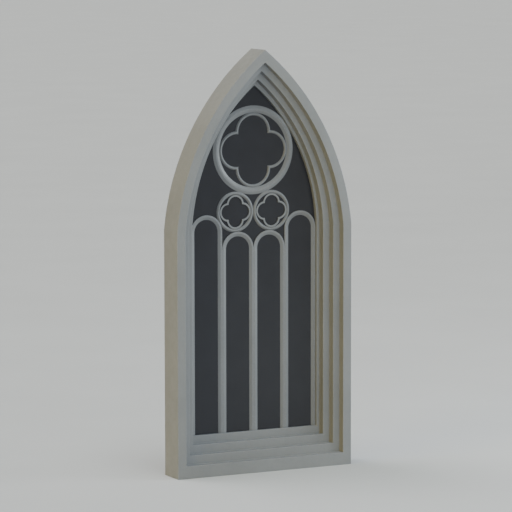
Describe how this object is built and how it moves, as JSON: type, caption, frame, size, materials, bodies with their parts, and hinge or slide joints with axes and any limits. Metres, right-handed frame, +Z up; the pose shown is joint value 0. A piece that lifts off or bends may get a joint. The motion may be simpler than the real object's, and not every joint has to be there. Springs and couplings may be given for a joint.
{
  "type": "arched window frame",
  "caption": "Pointed-arch window frame with stepped mouldings, round-headed lights and cusped roundel tracery over fixed glass.",
  "frame": {"origin": "middle of the underside of the outer sill, half way through the depth", "axes": "+Z up, +X to the right as seen from the front, +Y from the front face to the back"},
  "size_m": [1.8, 0.285, 3.926],
  "materials": {
    "frame_paint": "satin grey paint on timber",
    "tracery_paint": "satin grey paint on timber",
    "glass": "clear, dark behind"
  },
  "bodies": {
    "root": {"centre_mullion": "tracery_paint", "great_quatrefoil": "tracery_paint", "great_roundel": "tracery_paint", "great_roundel_glass": "glass", "inner_left_arch": "frame_paint", "inner_left_jamb": "frame_paint", "inner_right_arch": "frame_paint", "inner_right_jamb": "frame_paint", "inner_sill": "frame_paint", "left_inner_light_glass": "glass", "left_inner_light_head": "tracery_paint", "left_jamb_bar": "tracery_paint", "left_mullion": "tracery_paint", "left_outer_light_glass": "glass", "left_outer_light_head": "tracery_paint", "left_quatrefoil": "tracery_paint", "left_roundel": "tracery_paint", "left_roundel_glass": "glass", "outer_left_arch": "frame_paint", "outer_left_jamb": "frame_paint", "outer_right_arch": "frame_paint", "outer_right_jamb": "frame_paint", "outer_sill": "frame_paint", "right_inner_light_glass": "glass", "right_inner_light_head": "tracery_paint", "right_jamb_bar": "tracery_paint", "right_mullion": "tracery_paint", "right_outer_light_glass": "glass", "right_outer_light_head": "tracery_paint", "right_quatrefoil": "tracery_paint", "right_roundel": "tracery_paint", "right_roundel_glass": "glass", "second_left_arch": "frame_paint", "second_left_jamb": "frame_paint", "second_right_arch": "frame_paint", "second_right_jamb": "frame_paint", "second_sill": "frame_paint", "spandrel_glass": "glass", "third_left_arch": "frame_paint", "third_left_jamb": "frame_paint", "third_right_arch": "frame_paint", "third_right_jamb": "frame_paint", "third_sill": "frame_paint"}
  },
  "joints": []
}
